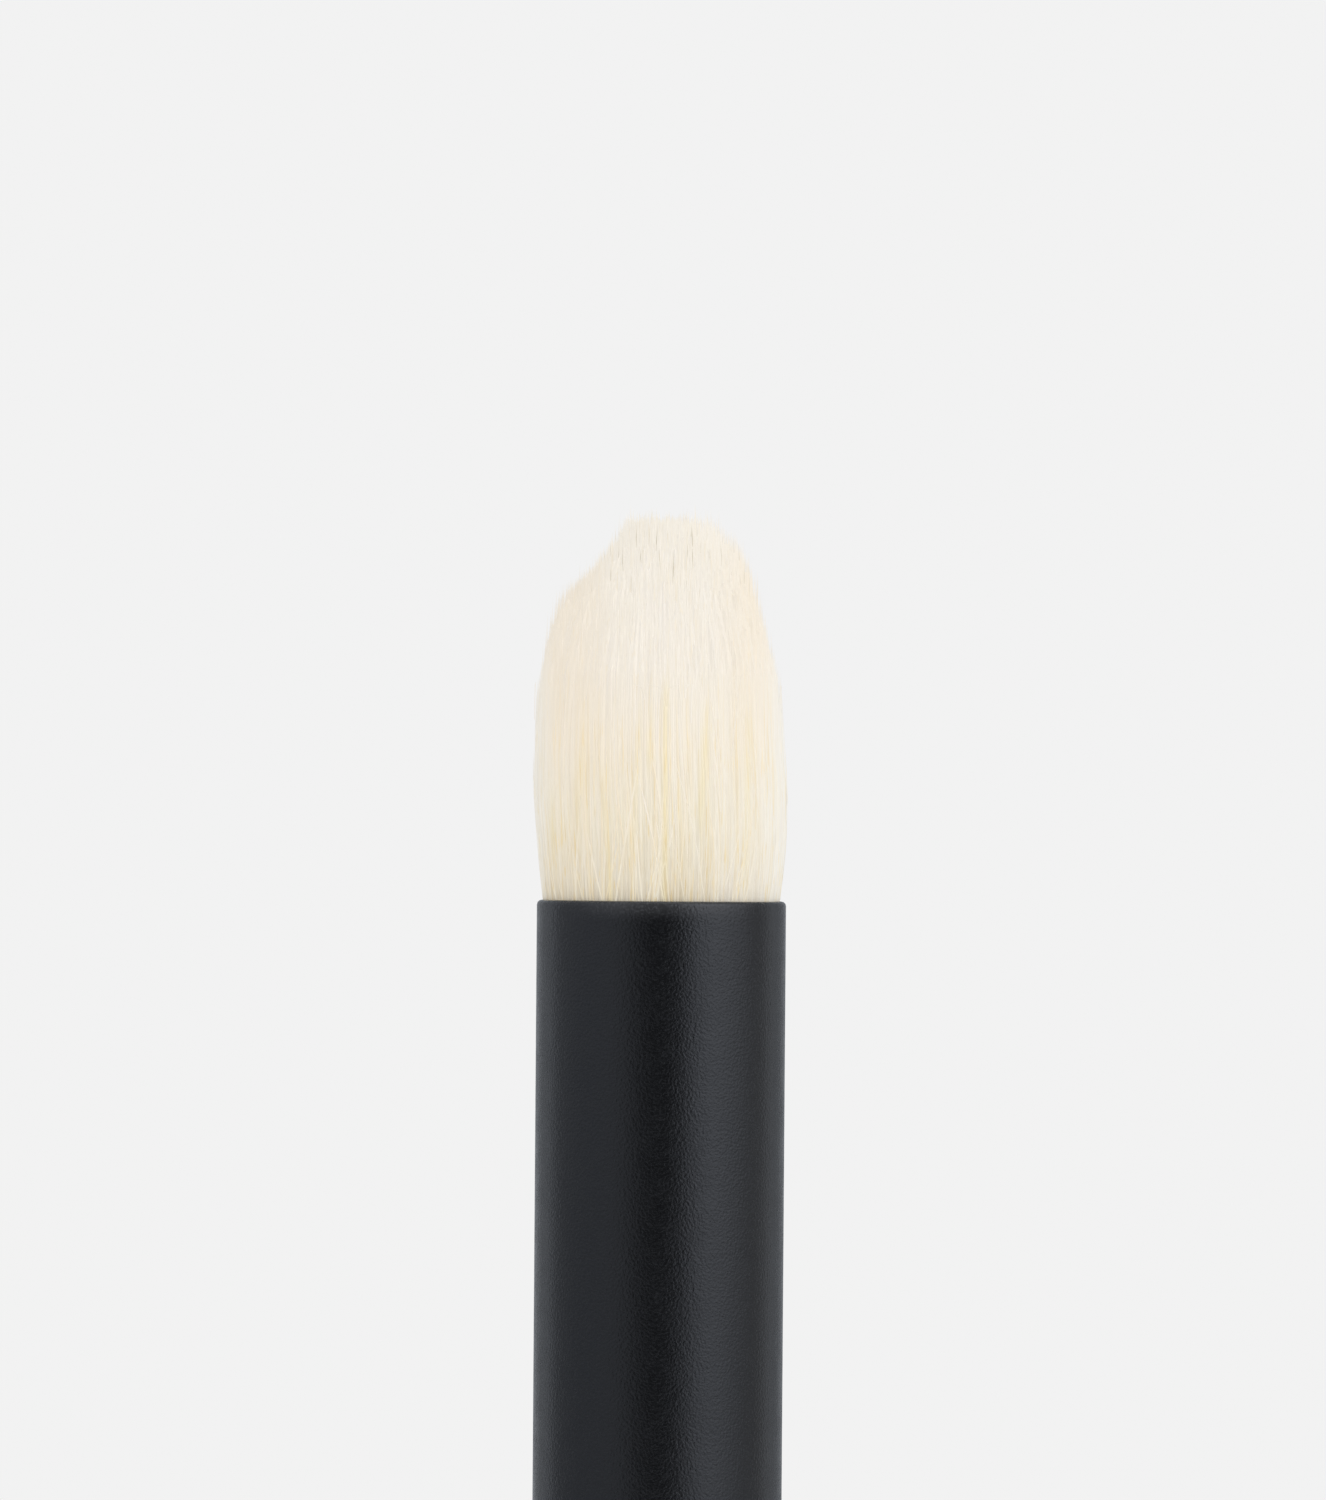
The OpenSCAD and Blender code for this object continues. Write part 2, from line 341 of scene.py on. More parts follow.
def hair_faces(rings):
    """Faces of one hair as corner numbers, and where each corner lies in the hair's cell of the UV map."""
    bottom, top = 0.1, 0.9
    foot_uv = [[0, 0.02], [1, 0.02], [0.5, 0.08]]
    steps = rings - 1
    v = [bottom + (top - bottom) * k / steps for k in range(steps)]
    quads, quad_uv = [], []
    for k in range(steps - 1):
        low, high = k * HAIR_CORNERS, (k + 1) * HAIR_CORNERS
        for c in range(HAIR_CORNERS):
            d = (c + 1) % HAIR_CORNERS
            quads.append([low + c, high + c, high + d, low + d])
            quad_uv += [[c, v[k]], [c, v[k + 1]], [c + 1, v[k + 1]], [c + 1, v[k]]]
    tris, tri_uv = [], []
    last, tip = (steps - 1) * HAIR_CORNERS, steps * HAIR_CORNERS
    for c in range(HAIR_CORNERS):
        tris.append([last + c, tip, last + (c + 1) % HAIR_CORNERS])
        tri_uv += [[c, v[-1]], [c + 0.5, top], [c + 1, v[-1]]]
    tris.append(list(range(HAIR_CORNERS)))
    tri_uv += foot_uv
    scale = np.array([1 / HAIR_CORNERS, 1])
    return np.array(quads), np.array(tris), np.array(quad_uv) * scale, np.array(tri_uv) * scale


def set_hair_uv(mesh, count, cell):
    """Gives each hair its own cell of the map, so that no two faces share a place on it."""
    columns = math.ceil(math.sqrt(count * 2))
    rows = math.ceil(count / columns)
    gap = 0.1
    i = np.arange(count)
    corner = np.stack([i % columns, i // columns], -1)[:, None, :]
    uv = (corner + gap / 2 + cell[None] * (1 - gap)) / np.array([columns, rows])
    layer = mesh.uv_layers.new(name="OFBake")
    layer.data.foreach_set("uv", uv.astype(np.float32).ravel())


def hair_mesh(name, paths, widths, facing, attribute):
    """A mesh of closed three-sided hairs.

    paths is hairs x rings x 3 in millimetres, and its last ring is the tip. widths is hairs x (rings - 1).
    facing is the angle that each hair's flat side faces. attribute is hairs x rings x 4, for the material.
    """
    count, rings, _ = paths.shape
    points = hair_points(paths, widths, facing)
    quads, tris, quad_uv, tri_uv = hair_faces(rings)
    first = (np.arange(count) * points.shape[1])[:, None, None]
    quad_loops = (first + quads[None]).reshape(count, -1)
    tri_loops = (first + tris[None]).reshape(count, -1)
    loops = np.concatenate([quad_loops, tri_loops], 1)
    sizes = np.tile([4] * len(quads) + [3] * len(tris), count)
    mesh = bpy.data.meshes.new(name)
    mesh.vertices.add(count * points.shape[1])
    mesh.vertices.foreach_set("co", in_frame(points).astype(np.float32).ravel())
    mesh.loops.add(loops.size)
    mesh.loops.foreach_set("vertex_index", loops.astype(np.int32).ravel())
    mesh.polygons.add(len(sizes))
    starts = np.concatenate([[0], np.cumsum(sizes)[:-1]])
    mesh.polygons.foreach_set("loop_start", starts.astype(np.int32))
    mesh.polygons.foreach_set("use_smooth", np.zeros(len(sizes), bool))
    mesh.update(calc_edges=True)
    set_hair_uv(mesh, count, np.concatenate([quad_uv, tri_uv]))
    at_rings = np.repeat(attribute[:, :-1], HAIR_CORNERS, 1)
    set_hair_colour(mesh, np.concatenate([at_rings, attribute[:, -1:]], 1))
    mesh.validate()
    return mesh


def hair_layout(rng):
    """Where each hair stands: its share of the radius and its angle, from the middle outwards."""
    i = np.arange(HAIR_COUNT)
    s = np.sqrt((i + 0.5) / HAIR_COUNT)
    angle = i * GOLDEN_TURN
    s = np.clip(s + rng.normal(0, PLACE_SCATTER, HAIR_COUNT), 0, OUTMOST_SHARE)
    angle = angle + rng.normal(0, ANGLE_SCATTER, HAIR_COUNT) / np.maximum(s, INMOST_SHARE)
    return s, angle


def nearest_locks(x, y, rng):
    """The middle of the nearest lock for each hair, in shares of the radius, and that lock's number."""
    i = np.arange(LOCK_COUNT)
    s = np.sqrt((i + 0.5) / LOCK_COUNT)
    a = i * GOLDEN_TURN + rng.normal(0, LOCK_ANGLE_SCATTER, LOCK_COUNT)
    lock_x, lock_y = s * np.cos(a), s * np.sin(a)
    nearest = np.argmin((x[:, None] - lock_x) ** 2 + (y[:, None] - lock_y) ** 2, 1)
    return lock_x[nearest], lock_y[nearest], nearest


def for_some(rng, count, part, limits):
    """A random length between the limits for that part of the hairs, and 0 for the others."""
    return np.where(rng.random(count) < part, rng.uniform(*limits, count), 0)


def hair_tips(s, angle, nearest, rng):
    """Heights of the hairs' tips, in millimetres."""
    count = len(s)
    together = rng.normal(0, LOCK_TIP_SCATTER_MM, LOCK_COUNT)[nearest]
    tip = tip_height(s, angle) + TIP_LIFT_MM + together + rng.normal(0, TIP_SCATTER_MM, count)
    tip = tip - for_some(rng, count, SHORT_SHARE, SHORTER_MM)
    return tip + for_some(rng, count, LONG_SHARE, LONGER_MM)


def hair_paths(s, angle, rings, foot, rng):
    """Paths of hairs from their feet to their tips, in millimetres, as hairs x rings x 3.

    foot is a function that gives the heights of their feet from those of their tips.
    """
    x, y = s * np.cos(angle), s * np.sin(angle)
    lock_x, lock_y, nearest = nearest_locks(x, y, rng)
    tip = hair_tips(s, angle, nearest, rng)
    low = foot(tip)
    t = np.linspace(0, 1, rings) ** RING_POWER
    h = low[:, None] + (tip - low)[:, None] * t[None]
    up = share(h, LOCK_FROM_MM, HEAD_H_MM)
    pulled_x = x[:, None] + (lock_x - x)[:, None] * LOCK_PULL_SHARE * up
    pulled_y = y[:, None] + (lock_y - y)[:, None] * LOCK_PULL_SHARE * up
    r = path_radius(h)
    phase = rng.uniform(0, 2 * math.pi, (2, len(s), 1))
    sway = SWAY_MM * share(h, 0, SWAY_RISE_MM)
    tilt = rng.normal(0, TILT_MM, (2, len(s), 1))
    tilted = (h / HEAD_H_MM - TILT_ABOUT_SHARE) * share(h, 0, TILT_RISE_MM)
    path_x = pulled_x * r + (sway * np.sin(h * SWAY_PER_MM + phase[0]) + tilt[0] * tilted)
    path_y = pulled_y * r + (sway * np.sin(h * SWAY_PER_MM + phase[1]) + tilt[1] * tilted)
    over = np.hypot(path_x, path_y) / r
    limit = np.where(over > 1, 1 / over, 1)
    return np.stack([path_x * limit + lean(h), path_y * limit, h], -1)


def hair_widths(paths, rng):
    """Widths of hairs at each ring but the tip, which they taper to."""
    count, rings, _ = paths.shape
    length = paths[:, -1, 2] - paths[:, 0, 2]
    full = rng.uniform(*HAIR_W_MM, count)[:, None]
    t = (np.linspace(0, 1, rings) ** RING_POWER)[None, :-1]
    left = (1 - t) * length[:, None]
    return full * (TAPERED_SHARE + (1 - TAPERED_SHARE) * np.clip(left / TAPER_MM, 0, 1))


def lock_gold(points):
    """How golden the locks make each of the points, which are given in millimetres."""
    x = np.where(points[..., 1] < 0, points[..., 0], -points[..., 0])
    h = points[..., 2]
    gold = np.zeros(x.shape)
    for place, slant, low, high, half, strength in GOLDEN_LOCKS_MM:
        near = np.exp(-(((x - place - slant * h) / half) ** 2))
        here = share(h, low, low + LOCK_FADE_MM) * share(h, high, high - LOCK_FADE_MM)
        gold = np.maximum(gold, strength * near * here)
    return gold


def hair_attribute(paths, rng, golden, paler):
    """Per hair and ring: chance, height as a share of the head, kind and a lock's gold, all from 0 to 1.

    golden is the share of hairs that are made golden besides the random ones. paler is how much higher up on
    the head, as a share of it, their colour is taken from.
    """
    count, rings, _ = paths.shape
    made = np.ones((count, rings, 4))
    made[..., 0] = rng.random((count, 1))
    made[..., 1] = np.clip(paths[..., 2] / HEAD_H_MM + paler, 0, 1)
    kind = rng.random((count, 1))
    made[..., 2] = np.where(rng.random((count, 1)) < golden, GOLDEN_KIND, kind)
    made[..., 3] = lock_gold(paths)
    return made


def make_hair_piece(name, paths, widths, rng, material, golden=0.0, paler=0.0):
    """Makes one piece of hair of its paths. Each hair's flat side faces the middle, more or less."""
    inwards = np.arctan2(paths[:, 0, 1], paths[:, 0, 0]) + math.pi
    facing = inwards + rng.normal(0, FACING_SCATTER, len(paths))
    attribute = hair_attribute(paths, rng, golden, paler)
    dress_hair(new_object(name, hair_mesh(name, paths, widths, facing, attribute)), material)


def outer_foot(tip):
    """Heights of the outer hairs' feet, which stand in the tube."""
    return np.full(len(tip), ROOT_H_MM * OUTER_DEPTH_SHARE)


def inner_foot(tip):
    """Heights of the inner hairs' feet, a little below their tips, because no more of them is seen."""
    return tip - INNER_LENGTH_MM


def make_layer(name, seed, s, angle, rings, foot, material):
    """Makes the outer or the inner hairs. The arguments are those of hair_paths."""
    rng = np.random.default_rng(seed)
    paths = hair_paths(s, angle, rings, foot, rng)
    make_hair_piece(name, paths, hair_widths(paths, rng), rng, material)


def make_strays(seed, material):
    """Hairs that cross the others at a slant over the head's outside, mostly near the mouth."""
    rng = np.random.default_rng(seed)
    count = STRAY_COUNT
    angle = rng.uniform(0, 2 * math.pi, count)
    low = np.where(rng.random(count) < STRAY_MOUTH_SHARE, STRAY_MOUTH_MM, rng.uniform(*STRAY_START_MM, count))
    length = rng.uniform(*STRAY_LENGTH_MM, count)
    slant = rng.normal(0, STRAY_SLANT_SCATTER, count)[:, None]
    t = np.linspace(0, 1, STRAY_RINGS)[None]
    below = STRAY_BELOW_MM[0] + (STRAY_BELOW_MM[1] - STRAY_BELOW_MM[0]) * t
    highest = tip_height(np.full(count, STRAY_EDGE_SHARE), angle)[:, None] - below
    h = np.minimum(low[:, None] + length[:, None] * t, highest)
    r = path_radius(h) + STRAY_OFF_MM + STRAY_ARCH_MM * np.sin(t * math.pi)
    bend = STRAY_BEND * np.sin(t * STRAY_WAVE + angle[:, None])
    a = angle[:, None] + slant * (t - STRAY_ABOUT_SHARE) + bend
    paths = np.stack([r * np.cos(a) + lean(h), r * np.sin(a), h], -1)
    full = rng.uniform(*STRAY_W_MM, count)[:, None]
    taper = np.clip((1 - t[:, :-1]) / STRAY_TAPER_SHARE, 0, 1)
    widths = full * (STRAY_TAPERED_SHARE + (1 - STRAY_TAPERED_SHARE) * taper)
    make_hair_piece("hair_strays", paths, widths, rng, material, STRAY_GOLDEN_SHARE, STRAY_PALER_SHARE)


def core_rings(rng):
    """The core's rings of corners, in millimetres: its potted stretch, its side, and inwards over its top."""
    a = np.linspace(0, 2 * math.pi, CORE_SIDES, endpoint=False)

    def ring(r, h):
        return np.stack([r * np.cos(a), r * np.sin(a), np.broadcast_to(h, a.shape)], -1)

    ridge = rng.normal(0, RIDGE_SCATTER, CORE_SIDES)
    rings = [ring(ROOT_R_MM, ROOT_H_MM), ring(ROOT_R_MM, ROOT_H_MM + CORE_POTTED_MM)]
    for h in np.linspace(*CORE_SIDE_MM, CORE_SIDE_RINGS):
        uneven = ridge + rng.normal(0, RING_SCATTER, CORE_SIDES)
        rings.append(ring(path_radius(h) * CORE_SHARE * (1 + uneven), h))
    lowest = CORE_SIDE_MM[1] + CORE_STEP_MM
    for s in np.linspace(CORE_SHARE, CORE_INMOST_SHARE, CORE_TOP_RINGS):
        even = np.maximum(tip_height(np.full(CORE_SIDES, s), a) - CORE_BELOW_MM, lowest)
        top = even + rng.normal(0, CORE_TOP_SCATTER_MM, CORE_SIDES)
        rings.append(ring(s * path_radius(top) * (1 + ridge), top))
    return rings


def core_faces(ring_count):
    """Faces between the core's rings, and of its two ends. The last two corners are its foot and its peak."""
    faces = []
    following = [(i + 1) % CORE_SIDES for i in range(CORE_SIDES)]
    for k in range(ring_count - 1):
        low, high = k * CORE_SIDES, (k + 1) * CORE_SIDES
        for i, j in enumerate(following):
            faces.append((low + i, low + j, high + j, high + i))
    last, foot = (ring_count - 1) * CORE_SIDES, ring_count * CORE_SIDES
    for i, j in enumerate(following):
        faces.append((j, i, foot))
        faces.append((last + i, last + j, foot + 1))
    return faces


def make_core(seed, material):
    """The dense middle of the bundle, ridged like hair, that closes the gaps between the modelled hairs."""
    rings = core_rings(np.random.default_rng(seed))
    foot = [0, 0, ROOT_H_MM]
    peak = [0, 0, float(rings[-1][:, 2].mean())]
    points = np.concatenate(rings)
    points[:, 0] += lean(points[:, 2])
    points = np.vstack([points, foot, peak])
    mesh = bpy.data.meshes.new("hair_core")
    mesh.from_pydata(in_frame(points).tolist(), [], core_faces(len(rings)))
    mesh.update()
    values = np.zeros((len(points), 4))
    values[:, 0] = CORE_CHANCE
    values[:, 1] = np.clip(points[:, 2] / HEAD_H_MM, 0, 1)
    values[:, 2] = CORE_KIND
    set_hair_colour(mesh, values)
    dress_hair(new_object("hair_core", mesh), material)


def material_nodes(name):
    material = bpy.data.materials.new(name)
    material.use_nodes = True
    tree = material.node_tree
    shader = tree.nodes["Principled BSDF"]
    return material, tree, shader


def add(tree, kind, **settings):
    node = tree.nodes.new(kind)
    for key, value in settings.items():
        setattr(node, key, value)
    return node


def ramp(tree, factor, *stops):
    """A colour ramp with stops (place, (red, green, blue)), in linear values."""
    node = add(tree, "ShaderNodeValToRGB")
    elements = node.color_ramp.elements
    while len(elements) < len(stops):
        elements.new(0.5)
    for element, (place, colour) in zip(elements, stops):
        element.position = place
        element.color = (*colour, 1)
    tree.links.new(factor, node.inputs["Fac"])
    return node.outputs["Color"]


def grey(level):
    return (level, level, level)


def grey_ramp(tree, factor, *stops):
    """A ramp of greys, with stops (place, level)."""
    return ramp(tree, factor, *((place, grey(level)) for place, level in stops))


def mix(tree, blend, factor, a, b):
    """Mixes two colours by blend type. The factor and the colours are sockets or constants."""
    node = add(tree, "ShaderNodeMix", data_type="RGBA", blend_type=blend)
    for socket, value in ((node.inputs[0], factor), (node.inputs[6], a), (node.inputs[7], b)):
        if hasattr(value, "links"):
            tree.links.new(value, socket)
        elif isinstance(value, tuple):
            socket.default_value = (*value, 1)
        else:
            socket.default_value = value
    return node.outputs[2]


def object_place(tree, stretch):
    """Object coordinates, multiplied by stretch along each axis."""
    coords = add(tree, "ShaderNodeTexCoord")
    mapping = add(tree, "ShaderNodeMapping")
    mapping.inputs["Scale"].default_value = stretch
    tree.links.new(coords.outputs["Object"], mapping.inputs["Vector"])
    return mapping.outputs["Vector"]


def noise(tree, vector, scale, detail=3.0):
    """A noise of about scale spots a metre, with fine detail or little."""
    node = add(tree, "ShaderNodeTexNoise")
    node.inputs["Scale"].default_value = scale
    node.inputs["Detail"].default_value = detail
    node.inputs["Roughness"].default_value = 0.5
    tree.links.new(vector, node.inputs["Vector"])
    return node.outputs["Fac"]


def bump(tree, shader, height, distance, strength=1.0):
    node = add(tree, "ShaderNodeBump")
    node.inputs["Strength"].default_value = strength
    node.inputs["Distance"].default_value = distance
    tree.links.new(height, node.inputs["Height"])
    tree.links.new(node.outputs["Normal"], shader.inputs["Normal"])


def times(tree, a, b):
    node = add(tree, "ShaderNodeMath", operation="MULTIPLY")
    tree.links.new(a, node.inputs[0])
    tree.links.new(b, node.inputs[1])
    return node.outputs["Value"]


def soft_step(tree, value, low, high):
    """How far a value is from low to high, from 0 to 1, with soft ends."""
    node = add(tree, "ShaderNodeMapRange", interpolation_type="SMOOTHSTEP")
    tree.links.new(value, node.inputs["Value"])
    node.inputs["From Min"].default_value = low
    node.inputs["From Max"].default_value = high
    return node.outputs["Result"]


def along_axis(tree, axis):
    """Place along an axis of the frame. X runs to the right in the photograph."""
    coords = add(tree, "ShaderNodeTexCoord")
    axes = add(tree, "ShaderNodeSeparateXYZ")
    tree.links.new(coords.outputs["Object"], axes.inputs["Vector"])
    return axes.outputs[axis]


def off_middle(tree, limits_mm, lean_mm=0.0):
    """How far a place is to a side, from 0 to 1 between two limits. The middle is lean_mm to the left."""
    near_mm, far_mm = limits_mm
    moved = add(tree, "ShaderNodeMath", operation="ADD")
    tree.links.new(along_axis(tree, "X"), moved.inputs[0])
    moved.inputs[1].default_value = lean_mm * MM
    away = add(tree, "ShaderNodeMath", operation="ABSOLUTE")
    tree.links.new(moved.outputs["Value"], away.inputs[0])
    return soft_step(tree, away.outputs["Value"], near_mm * MM, far_mm * MM)


def lit_right_side(tree, height):
    """How far the hair is paler from painted light on its right side, at +X: only near the mouth."""
    side = soft_step(tree, along_axis(tree, "X"), LIT_RIGHT_X_MM[0] * MM, LIT_RIGHT_X_MM[1] * MM)
    low = grey_ramp(tree, height, (0.0, 0.65), (0.25, 0.58), (0.6, 0.2), (0.8, 0.0))
    return times(tree, side, low)


def warm_sides(tree, height):
    """How far the hair is warmer than in the middle: on both sides of the head, above its belly."""
    side = off_middle(tree, WARM_X_MM)
    high = grey_ramp(tree, height, (0.3, 0.3), (0.5, 0.8), (0.7, 1.0), (0.85, 1.0), (0.97, 0.0))
    return times(tree, side, high)


def backlit_edges(tree, height):
    """How far the hair is paler on the outmost left and right: painted light, as light shines through the
    thin hair there, where little of it lies behind.
    """
    side = off_middle(tree, BACKLIT_X_MM, BACKLIT_LEAN_MM)
    low = grey_ramp(tree, height, (0.0, 0.8), (0.5, 0.65), (0.75, 0.3), (0.9, 0.0))
    return times(tree, side, low)


def hair_tone(tree, chance, height):
    """The hair's base colour: yellower to the root as the hair is, darker still in the lowest millimetres as
    painted shade from the tube's mouth, paler to the tips, and with the tones of its sides.
    """
    # Painted shade: the lowest stops are darker than the hair itself, for the shade that the tube's mouth
    # casts on the root
    along = ramp(tree, height,
                 (0.0, (0.785, 0.71, 0.572)), (0.06, (0.865, 0.795, 0.655)), (0.2, (0.94, 0.872, 0.72)),
                 (0.4, (0.97, 0.89, 0.757)), (0.65, (0.965, 0.90, 0.80)), (1.0, (0.96, 0.905, 0.81)))
    # Painted light from the right, near the mouth
    lit_right = mix(tree, "MIX", lit_right_side(tree, height), along, (0.95, 0.915, 0.84))
    warmed = mix(tree, "MULTIPLY", warm_sides(tree, height), lit_right, (0.99, 0.96, 0.915))
    # Painted light: paler at the outmost edges, where light shines through the hair
    backlit_toned = mix(tree, "MIX", backlit_edges(tree, height), warmed, (0.935, 0.92, 0.87))
    return mix(tree, "MULTIPLY", 1.0, backlit_toned, grey_ramp(tree, chance, (0.0, 0.96), (1.0, 1.0)))


def long_noise(tree, squeeze, scale, detail=3.0):
    """A noise drawn out along the hairs: its spots' width is the share squeeze of their length."""
    return noise(tree, object_place(tree, (1, 1, squeeze)), scale, detail)


def streaked(tree, colour, height, kind):
    """Adds what tells the hairs apart, each mark at the heights where it is seen, and painted shade between
    the hairs near the root and between the tips.
    """
    tints = ramp(tree, kind,
                 (0.0, (1.0, 0.99, 0.97)), (0.55, PLAIN), (0.8, (1.0, 0.98, 0.93)), (0.9, (0.98, 0.92, 0.79)),
                 (0.97, (0.93, 0.915, 0.88)))
    streaks = long_noise(tree, 0.035, 10000, detail=1)
    gold_streaks = ramp(tree, streaks, (0.61, PLAIN), (0.69, (0.988, 0.905, 0.71)))
    # Painted shade in the gaps between the hairs near the root
    gaps = long_noise(tree, 0.06, 9000, detail=1)
    painted_gap_shade = ramp(tree, gaps, (0.5, PLAIN), (0.64, (0.92, 0.89, 0.85)))
    tufts = long_noise(tree, 0.12, 1500)
    golden_tufts = ramp(tree, tufts, (0.42, PLAIN), (0.72, (0.99, 0.96, 0.885)))
    # Painted shade: a few hairs darker near the top, for the shade in the gaps between the tips
    painted_tip_shade = ramp(tree, kind, (0.966, PLAIN), (0.97, (0.7, 0.68, 0.6)))
    low_down = grey_ramp(tree, height, (0.0, 1.0), (0.35, 0.7), (0.6, 0.25))
    near_root = grey_ramp(tree, height, (0.0, 0.7), (0.1, 0.6), (0.3, 0.4), (0.45, 0.0))
    near_top = grey_ramp(tree, height, (0.78, 0.0), (0.84, 1.0), (0.94, 1.0), (0.98, 0.0))
    marks = ((low_down, tints), (low_down, gold_streaks), (near_root, painted_gap_shade), (near_top, painted_tip_shade),
             (low_down, golden_tufts))
    for where, mark in marks:
        colour = mix(tree, "MULTIPLY", where, colour, mark)
    return colour


def hair_material():
    """Ivory goat hair with some golden hairs and locks."""
    material, tree, shader = material_nodes("ivory_hair")
    attribute = add(tree, "ShaderNodeAttribute", attribute_name="hair")
    parts = add(tree, "ShaderNodeSeparateColor")
    tree.links.new(attribute.outputs["Color"], parts.inputs["Color"])
    chance, height, kind = parts.outputs
    colour = streaked(tree, hair_tone(tree, chance, height), height, kind)
    gilded = mix(tree, "MULTIPLY", attribute.outputs["Alpha"], colour, (0.985, 0.945, 0.77))
    tree.links.new(gilded, shader.inputs["Base Color"])
    shader.inputs["Roughness"].default_value = 0.55
    shader.inputs["Specular IOR Level"].default_value = 0.35
    shader.inputs["Sheen Weight"].default_value = 0.5
    bump(tree, shader, long_noise(tree, 0.35, 60000, detail=2), distance=0.004 * MM, strength=0.5)
    return material


def tube_material():
    """Matte black anodised aluminium with a fine pebbled grain, and a painted highlight just under the mouth,
    strongest in the middle.
    """
    material, tree, shader = material_nodes("black_tube")
    place = object_place(tree, (1, 1, 1))
    grain = noise(tree, place, 10500, detail=2)
    flecks = noise(tree, place, 11000, detail=1)
    patches = noise(tree, place, 1300, detail=2)
    black = ramp(tree, flecks, (0.4, (0.0048, 0.005, 0.0057)), (0.6, (0.0058, 0.0061, 0.0069)),
                 (0.7, (0.0072, 0.0075, 0.0084)))
    # Painted highlight: paler just under the mouth, most in the middle, and grained with the flecks
    lit_rim_colour = ramp(tree, flecks, (0.45, (0.035, 0.0358, 0.038)), (0.74, (0.06, 0.0615, 0.066)))
    near = soft_step(tree, along_axis(tree, "Z"), MOUTH_Z - LIT_RIM_H_MM * MM, MOUTH_Z)
    middle = grey_ramp(tree, off_middle(tree, LIT_RIM_X_MM), (0.0, 1.0), (1.0, 0.08))
    lit_rim_mask = times(tree, times(tree, near, near), middle)
    tree.links.new(mix(tree, "MIX", lit_rim_mask, black, lit_rim_colour), shader.inputs["Base Color"])
    even = grey_ramp(tree, patches, (0.35, 0.15), (0.65, 0.25))
    speckles = grey_ramp(tree, flecks, (0.4, 0.8), (0.66, 1.34))
    tree.links.new(mix(tree, "MULTIPLY", 1.0, even, speckles), shader.inputs["Roughness"])
    bump(tree, shader, grain, distance=0.021 * MM)
    shader.inputs["Specular IOR Level"].default_value = 0.3
    shader.inputs["Specular Tint"].default_value = (0.83, 0.885, 1.0, 1)
    return material


def plain_material(name, dark, light, scale, stretch, roughness, metallic):
    """A hidden piece's material: two tones mixed by a noise that also dents the surface."""
    material, tree, shader = material_nodes(name)
    pattern = noise(tree, object_place(tree, stretch), scale)
    tree.links.new(ramp(tree, pattern, (0.3, dark), (0.7, light)), shader.inputs["Base Color"])
    shader.inputs["Roughness"].default_value = roughness
    shader.inputs["Metallic"].default_value = metallic
    bump(tree, shader, pattern, distance=0.01 * MM, strength=0.5)
    return material


def dress_cad_nodes():
    """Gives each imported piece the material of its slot, but for the tuft, which the hair stands for."""
    made = {"black_tube": tube_material()}
    for row in HIDDEN:
        made[row[0]] = plain_material(*row)
    for row in frame["record"]["subparts"]:
        slot = row["material_slot"]
        if slot in made:
            for place in frame["nodes"][row["node"]].material_slots:
                place.material = made[slot]


def make_camera():
    data = bpy.data.cameras.new("photo_camera")
    data.sensor_width = SENSOR_MM
    data.lens = SENSOR_MM * CAMERA_DISTANCE / (VIEW_H_MM * MM)
    data.clip_start, data.clip_end = CAMERA_CLIP
    camera = new_object("photo_camera", data)
    roll = math.radians(CAMERA_ROLL_DEG)
    right = Vector((math.cos(roll), 0, math.sin(roll)))
    up = Vector((-math.sin(roll), 0, math.cos(roll)))
    back = Vector((0, -1, 0))
    turn = Matrix((right, up, back)).transposed().to_4x4()
    place = Vector((CAMERA_RIGHT_MM * MM, -CAMERA_DISTANCE, MOUTH_Z + CAMERA_ABOVE_MOUTH_MM * MM))
    camera.matrix_world = Matrix.Translation(place) @ turn
    bpy.context.scene.camera = camera


def make_lamp(name, azimuth, elevation, distance, width, height, radiance, gloss):
    """A rectangular lamp facing the tube's mouth. It lights matte surfaces only, or with gloss only gloss."""
    a, e = math.radians(azimuth), math.radians(elevation)
    away = Vector((math.sin(a) * math.cos(e), -math.cos(a) * math.cos(e), math.sin(e)))
    data = bpy.data.lights.new(name, "AREA")
    data.shape = "RECTANGLE"
    data.size = width
    data.size_y = height
    data.energy = radiance * math.pi * width * height
    lamp = new_object(name, data)
    lamp.location = Vector((0, 0, MOUTH_Z)) + away * distance
    lamp.rotation_mode = "QUATERNION"
    lamp.rotation_quaternion = away.to_track_quat("Z", "Y")
    lamp.visible_camera = False
    lamp.visible_glossy = gloss
    lamp.visible_diffuse = not gloss


def make_lights():
    for row in LAMPS:
        make_lamp(*row)


def room_gloss(tree):
    """What gloss sees of the room: its radiance by azimuth."""
    coords = add(tree, "ShaderNodeTexCoord")
    turned = add(tree, "ShaderNodeMapping")
    turned.inputs["Rotation"].default_value = (0, 0, math.radians(90))
    tree.links.new(coords.outputs["Generated"], turned.inputs["Vector"])
    azimuth = add(tree, "ShaderNodeTexGradient", gradient_type="RADIAL")
    tree.links.new(turned.outputs["Vector"], azimuth.inputs["Vector"])
    brightest = max(radiance for _, radiance in GLOSS_ROOM)
    stops = [((angle + 180) / 360, radiance / brightest) for angle, radiance in GLOSS_ROOM]
    shade = grey_ramp(tree, azimuth.outputs["Fac"], *stops)
    tint = ramp(tree, azimuth.outputs["Fac"], *GLOSS_TINT)
    return mix(tree, "MULTIPLY", 1.0, mix(tree, "MULTIPLY", 1.0, shade, tint), grey(brightest))


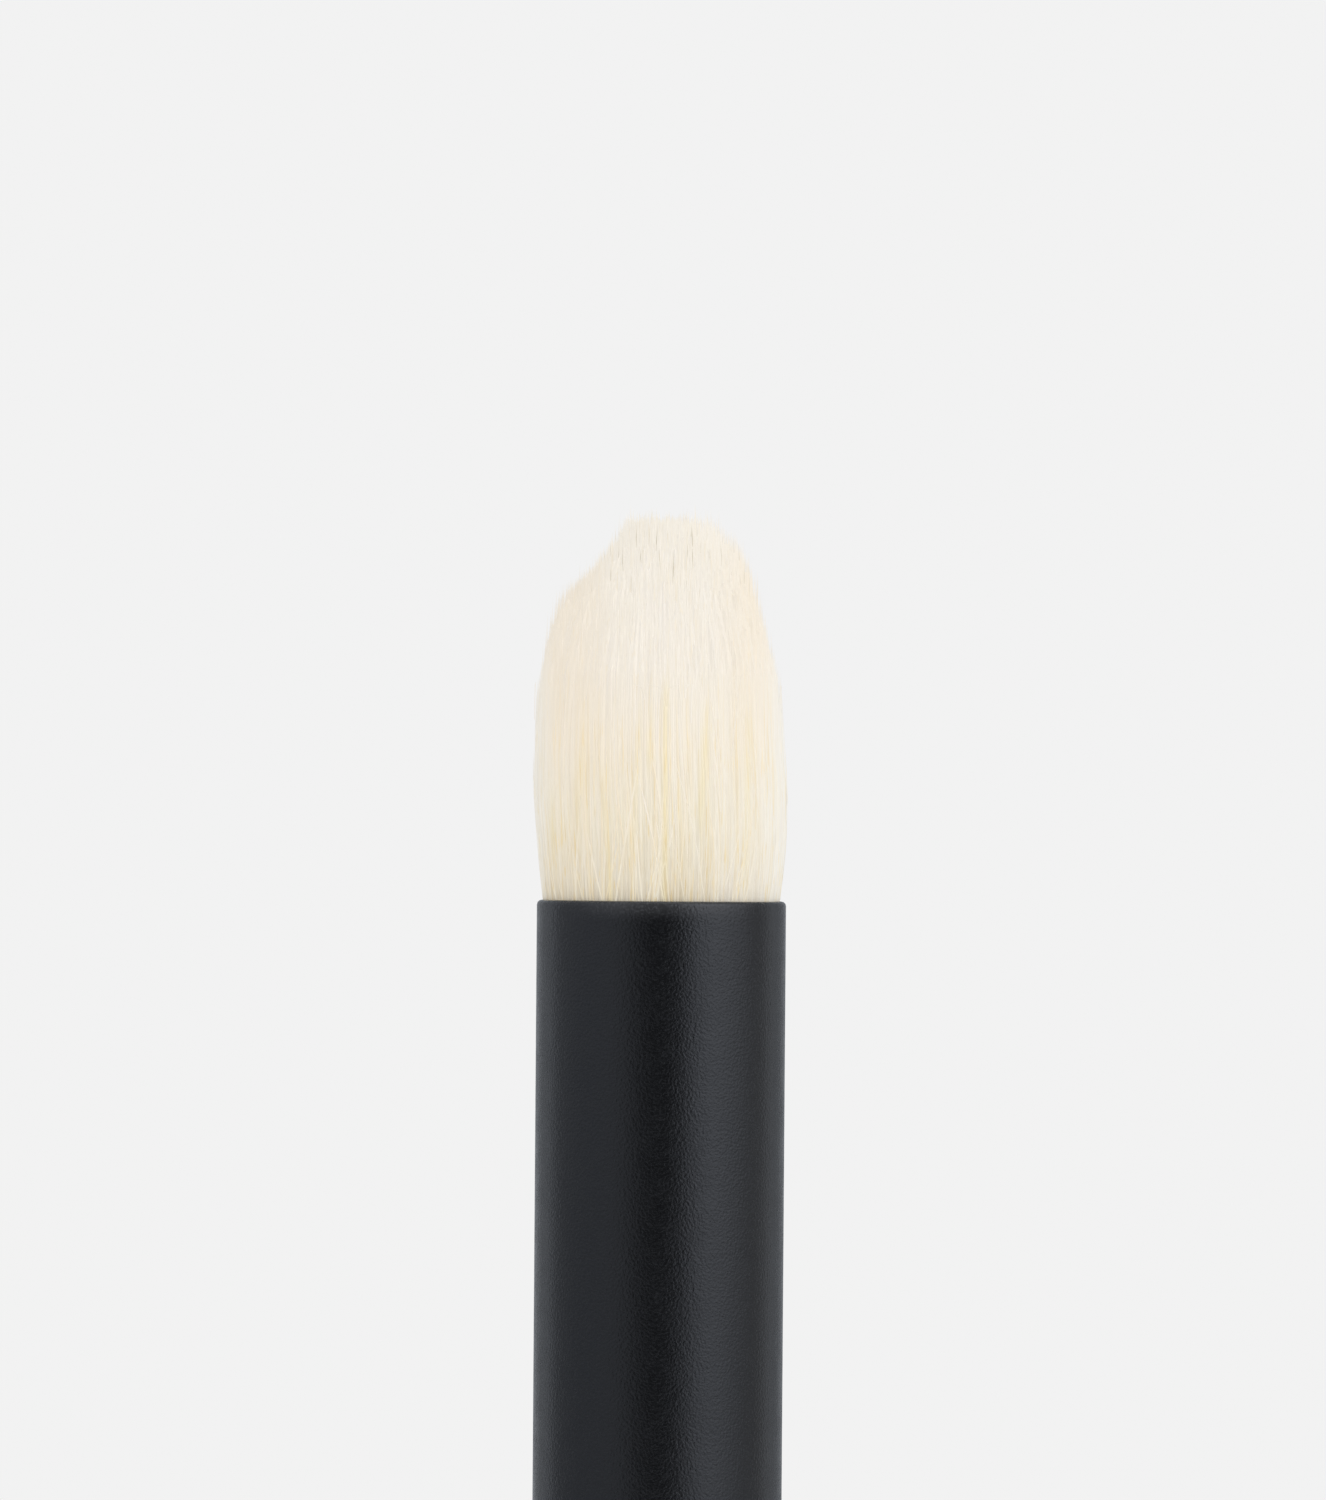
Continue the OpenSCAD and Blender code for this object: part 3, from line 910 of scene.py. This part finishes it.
def make_world():
    """Even light, except that gloss sees the room and the camera sees the pale background."""
    world = bpy.data.worlds.new("studio")
    world.use_nodes = True
    bpy.context.scene.world = world
    tree = world.node_tree
    path = add(tree, "ShaderNodeLightPath")
    light = mix(tree, "MIX", path.outputs["Is Glossy Ray"], grey(FILL), room_gloss(tree))
    through = mix(tree, "MIX", path.outputs["Is Transmission Ray"], light, grey(BACKGROUND))
    seen = mix(tree, "MIX", path.outputs["Is Camera Ray"], through, grey(BACKGROUND))
    tree.links.new(seen, tree.nodes["Background"].inputs["Color"])


def floor_material():
    """Matt pale grey that turns clear away from the brush, so that the background takes over."""
    material, tree, shader = material_nodes("floor")
    shader.inputs["Base Color"].default_value = FLOOR_COLOUR
    shader.inputs["Roughness"].default_value = 0.9
    shader.inputs["Specular IOR Level"].default_value = 0.0
    coords = add(tree, "ShaderNodeTexCoord")
    away = add(tree, "ShaderNodeVectorMath", operation="LENGTH")
    tree.links.new(coords.outputs["Object"], away.inputs[0])
    clear = add(tree, "ShaderNodeBsdfTransparent")
    blend = add(tree, "ShaderNodeMixShader")
    tree.links.new(soft_step(tree, away.outputs["Value"], *FLOOR_FADE), blend.inputs[0])
    tree.links.new(shader.outputs[0], blend.inputs[1])
    tree.links.new(clear.outputs[0], blend.inputs[2])
    tree.links.new(blend.outputs[0], tree.nodes["Material Output"].inputs["Surface"])
    return material


def make_floor():
    """The pale table top, which keeps the brush's shadow."""
    angles = np.linspace(0, 2 * math.pi, FLOOR_SIDES, endpoint=False)
    points = [(FLOOR_R * math.cos(a), FLOOR_R * math.sin(a), 0) for a in angles]
    mesh = bpy.data.meshes.new("floor")
    mesh.from_pydata(points, [], [tuple(range(FLOOR_SIDES))])
    floor = new_object("floor", mesh)
    floor.data.materials.append(floor_material())


def make_hair():
    """The head of hair. Each piece draws from a seed of its own, so that changing one leaves the others."""
    material = hair_material()
    s, angle = hair_layout(np.random.default_rng(SEED))
    outer = s >= OUTER_SHARE
    inner = ~outer
    make_core(SEED + 4, material)
    make_layer("hair_inner", SEED + 2, s[inner], angle[inner], INNER_RINGS, inner_foot, material)
    make_layer("hair_outer", SEED + 1, s[outer], angle[outer], OUTER_RINGS, outer_foot, material)
    make_strays(SEED + 3, material)


bpy.context.scene.view_settings.view_transform = "Standard"
make_camera()
make_lights()
make_world()
make_floor()
dress_cad_nodes()
make_hair()
